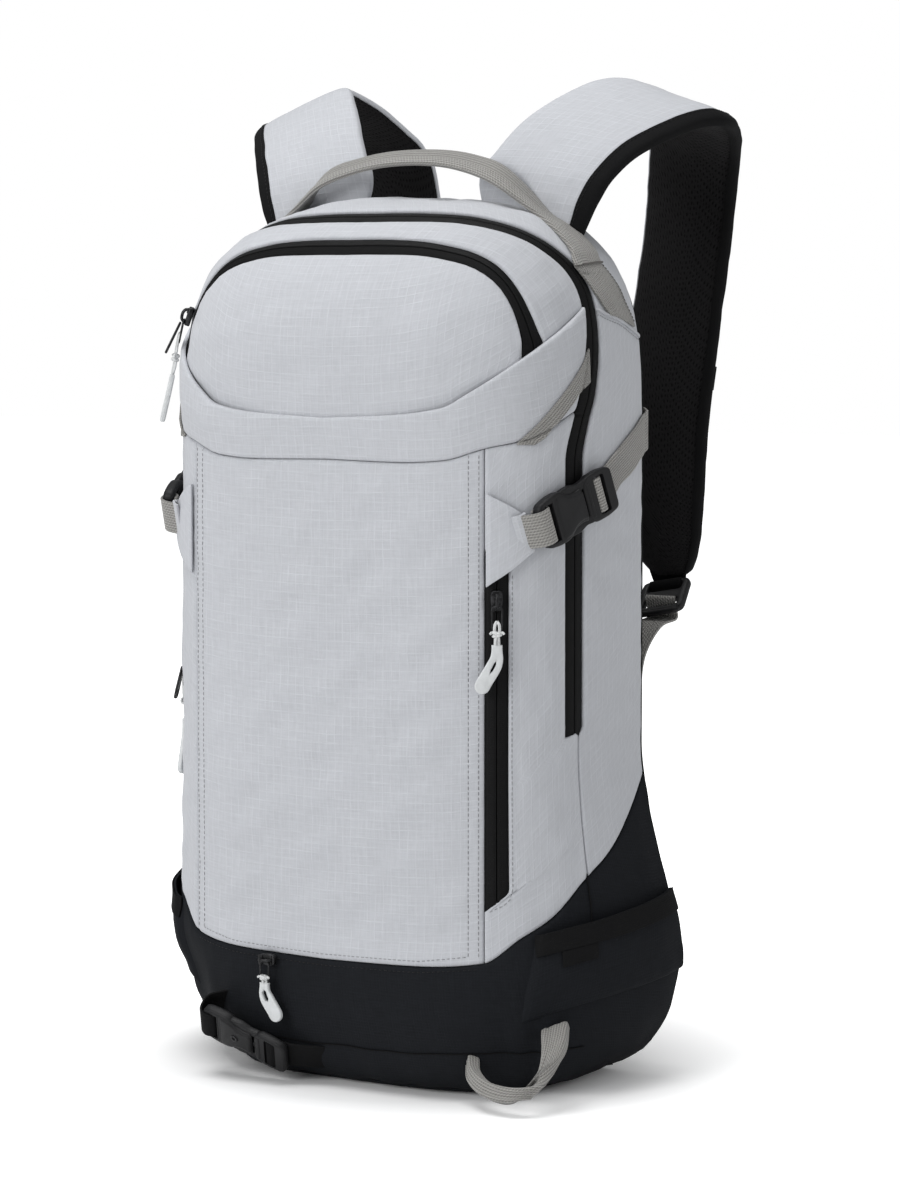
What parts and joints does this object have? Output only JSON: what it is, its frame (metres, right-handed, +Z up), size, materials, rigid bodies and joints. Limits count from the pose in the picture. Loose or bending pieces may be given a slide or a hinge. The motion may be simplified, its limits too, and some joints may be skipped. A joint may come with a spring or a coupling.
{
  "type": "ski backpack",
  "caption": "Upright light grey backpack with a black base, arched lid, front and side zips, side release buckles, haul handle, padded shoulder straps and folded hip belt.",
  "frame": {"origin": "middle of the flat base, on the surface that the pack stands on", "axes": "+Z up along the pack's height, -Y out of the front, +Y out of the back panel and straps, +X towards the pack's right as seen from the front"},
  "size_m": [0.3344, 0.2746, 0.5947],
  "materials": {
    "light_ripstop": "coated light grey ripstop",
    "black_fabric": "matt black plain weave",
    "spacer_mesh": "black open spacer mesh over foam",
    "lining": "thin dark grey lining",
    "zip_tape": "woven zip tape with a coil",
    "zip_slider": "black lacquered casting",
    "pull_grip": "off-white moulded grip on a cord",
    "buckle_plastic": "fine satin moulding",
    "webbing": "ribbed warm grey webbing",
    "frame_plastic": "thermoformed sheet",
    "stay_aluminium": "flat bar"
  },
  "bodies": {
    "pack": {"base_floor": "black_fabric", "base_shell": "black_fabric", "front_panel": "light_ripstop", "side_panel_right": "light_ripstop", "side_panel_left": "light_ripstop", "gusset": "light_ripstop", "back_wall": "black_fabric", "frame_sheet": "frame_plastic", "aluminium_stay": "stay_aluminium", "back_pad": "spacer_mesh", "lumbar_pad": "spacer_mesh", "divider": "lining", "hydration_sleeve": "lining", "tool_sleeve": "lining", "side_pocket_right": "black_fabric", "side_pocket_left": "black_fabric", "main_zip_tape_rear": "zip_tape", "main_zip_tape_right": "zip_tape", "main_zip_tape_left": "zip_tape", "front_zip_tape": "zip_tape", "compression_tab_right": "light_ripstop", "compression_tab_left": "light_ripstop", "compression_socket_right": "buckle_plastic", "compression_socket_left": "buckle_plastic", "compression_webbing_right": "webbing", "compression_webbing_left": "webbing", "base_socket": "buckle_plastic"},
    "lid": {"yoke_panel": "light_ripstop", "goggle_panel": "light_ripstop", "top_panel": "light_ripstop", "goggle_zip_tape": "zip_tape", "main_zip_tape_lid": "zip_tape"},
    "goggle_slider": {"goggle_slider": "zip_slider"},
    "goggle_pull": {"goggle_pull": "pull_grip"},
    "main_upper_slider": {"main_upper_slider": "zip_slider"},
    "main_upper_pull": {"main_upper_pull": "pull_grip"},
    "main_lower_slider": {"main_lower_slider": "zip_slider"},
    "front_slider": {"front_slider": "zip_slider"},
    "front_pull": {"front_pull": "pull_grip"},
    "base_slider": {"base_slider": "zip_slider"},
    "base_pull": {"base_pull": "pull_grip"},
    "compression_clip_right": {"compression_clip_right": "buckle_plastic"},
    "compression_clip_left": {"compression_clip_left": "buckle_plastic"},
    "base_clip": {"base_clip": "buckle_plastic"},
    "haul_handle": {"haul_handle": "webbing"},
    "ski_loop": {"ski_loop": "webbing"},
    "strap_right": {"shoulder_strap_right": "spacer_mesh", "ladder_lock_right": "buckle_plastic", "strap_webbing_right": "webbing"},
    "sternum_right": {"sternum_webbing_right": "webbing", "sternum_socket": "buckle_plastic"},
    "hip_right": {"hip_wing_right": "spacer_mesh", "hip_socket": "buckle_plastic"},
    "strap_left": {"shoulder_strap_left": "spacer_mesh", "ladder_lock_left": "buckle_plastic", "strap_webbing_left": "webbing"},
    "sternum_left": {"sternum_webbing_left": "webbing", "sternum_clip": "buckle_plastic"},
    "hip_left": {"hip_wing_left": "spacer_mesh", "hip_clip": "buckle_plastic"}
  },
  "joints": [
    {"name": "lid_hinge", "type": "hinge", "parent": "pack", "child": "lid", "pos_m": [0, -0.085, 0.3675], "axis": [1, 0, 0], "range_deg": [0, 55]},
    {"name": "goggle_slide", "type": "slide", "parent": "lid", "child": "goggle_slider", "axis": [0.3541, 0.0503, 0.9339], "range_m": [0, 0.022]},
    {"name": "main_upper_slide", "type": "slide", "parent": "pack", "child": "main_upper_slider", "axis": [0, 0, 1], "range_m": [0, 0.066]},
    {"name": "main_lower_slide", "type": "slide", "parent": "pack", "child": "main_lower_slider", "axis": [0, 0, 1], "range_m": [0, 0.0035]},
    {"name": "front_slide", "type": "slide", "parent": "pack", "child": "front_slider", "axis": [0, 0, -1], "range_m": [0, 0.162]},
    {"name": "base_slide", "type": "slide", "parent": "pack", "child": "base_slider", "axis": [1, 0, 0], "range_m": [0, 0.09]},
    {"name": "goggle_pull_hinge", "type": "hinge", "parent": "goggle_slider", "child": "goggle_pull", "pos_m": [-0.12228, -0.05317, 0.44442], "axis": [-0.6075, 0.7922, 0.0579], "range_deg": [0, 75]},
    {"name": "main_upper_pull_hinge", "type": "hinge", "parent": "main_upper_slider", "child": "main_upper_pull", "pos_m": [-0.14017, -0.02789, 0.2337], "axis": [-0.2398, 0.9708, 0], "range_deg": [0, 75]},
    {"name": "front_pull_hinge", "type": "hinge", "parent": "front_slider", "child": "front_pull", "pos_m": [0.10998, -0.0739, 0.2832], "axis": [-0.8287, -0.5597, 0], "range_deg": [0, 75]},
    {"name": "base_pull_hinge", "type": "hinge", "parent": "base_slider", "child": "base_pull", "pos_m": [-0.036, -0.0949, 0.069], "axis": [-1, 0, 0], "range_deg": [0, 75]},
    {"name": "compression_clip_right_release", "type": "slide", "parent": "pack", "child": "compression_clip_right", "axis": [0.2695, 0.8919, 0.3632], "range_m": [0, 0.025]},
    {"name": "compression_clip_left_release", "type": "slide", "parent": "pack", "child": "compression_clip_left", "axis": [-0.2695, 0.8919, 0.3632], "range_m": [0, 0.025]},
    {"name": "base_clip_release", "type": "slide", "parent": "pack", "child": "base_clip", "axis": [0.9443, 0.0429, -0.3262], "range_m": [0, 0.018]},
    {"name": "haul_handle_hinge", "type": "hinge", "parent": "pack", "child": "haul_handle", "pos_m": [0, 0.01478, 0.49041], "axis": [1, 0, 0], "range_deg": [0, 15], "stiffness_Nm_per_rad": 0.01},
    {"name": "ski_loop_hinge", "type": "hinge", "parent": "pack", "child": "ski_loop", "pos_m": [0.096, -0.0815, 0.021], "axis": [-0.9008, -0.3314, -0.2805], "range_deg": [0, 30], "stiffness_Nm_per_rad": 0.004},
    {"name": "strap_right_swing", "type": "hinge", "parent": "pack", "child": "strap_right", "pos_m": [0.078, 0.03, 0.515], "axis": [0.1188, 0.0739, -0.9902], "range_deg": [-5, 25], "stiffness_Nm_per_rad": 0.5},
    {"name": "strap_left_swing", "type": "hinge", "parent": "pack", "child": "strap_left", "pos_m": [-0.078, 0.03, 0.515], "axis": [0.1188, -0.0739, 0.9902], "range_deg": [-5, 25], "stiffness_Nm_per_rad": 0.5},
    {"name": "sternum_right_slide", "type": "slide", "parent": "strap_right", "child": "sternum_right", "axis": [0, 0.2793, 0.9602], "range_m": [-0.02, 0.04]},
    {"name": "sternum_left_slide", "type": "slide", "parent": "strap_left", "child": "sternum_left", "axis": [0, 0.2793, 0.9602], "range_m": [-0.02, 0.04]},
    {"name": "hip_right_fold", "type": "hinge", "parent": "pack", "child": "hip_right", "pos_m": [0.137, 0.0705, 0.087], "axis": [0, 0, -1], "range_deg": [0, 110]},
    {"name": "hip_left_fold", "type": "hinge", "parent": "pack", "child": "hip_left", "pos_m": [-0.137, 0.0705, 0.087], "axis": [0, 0, 1], "range_deg": [0, 110]}
  ]
}
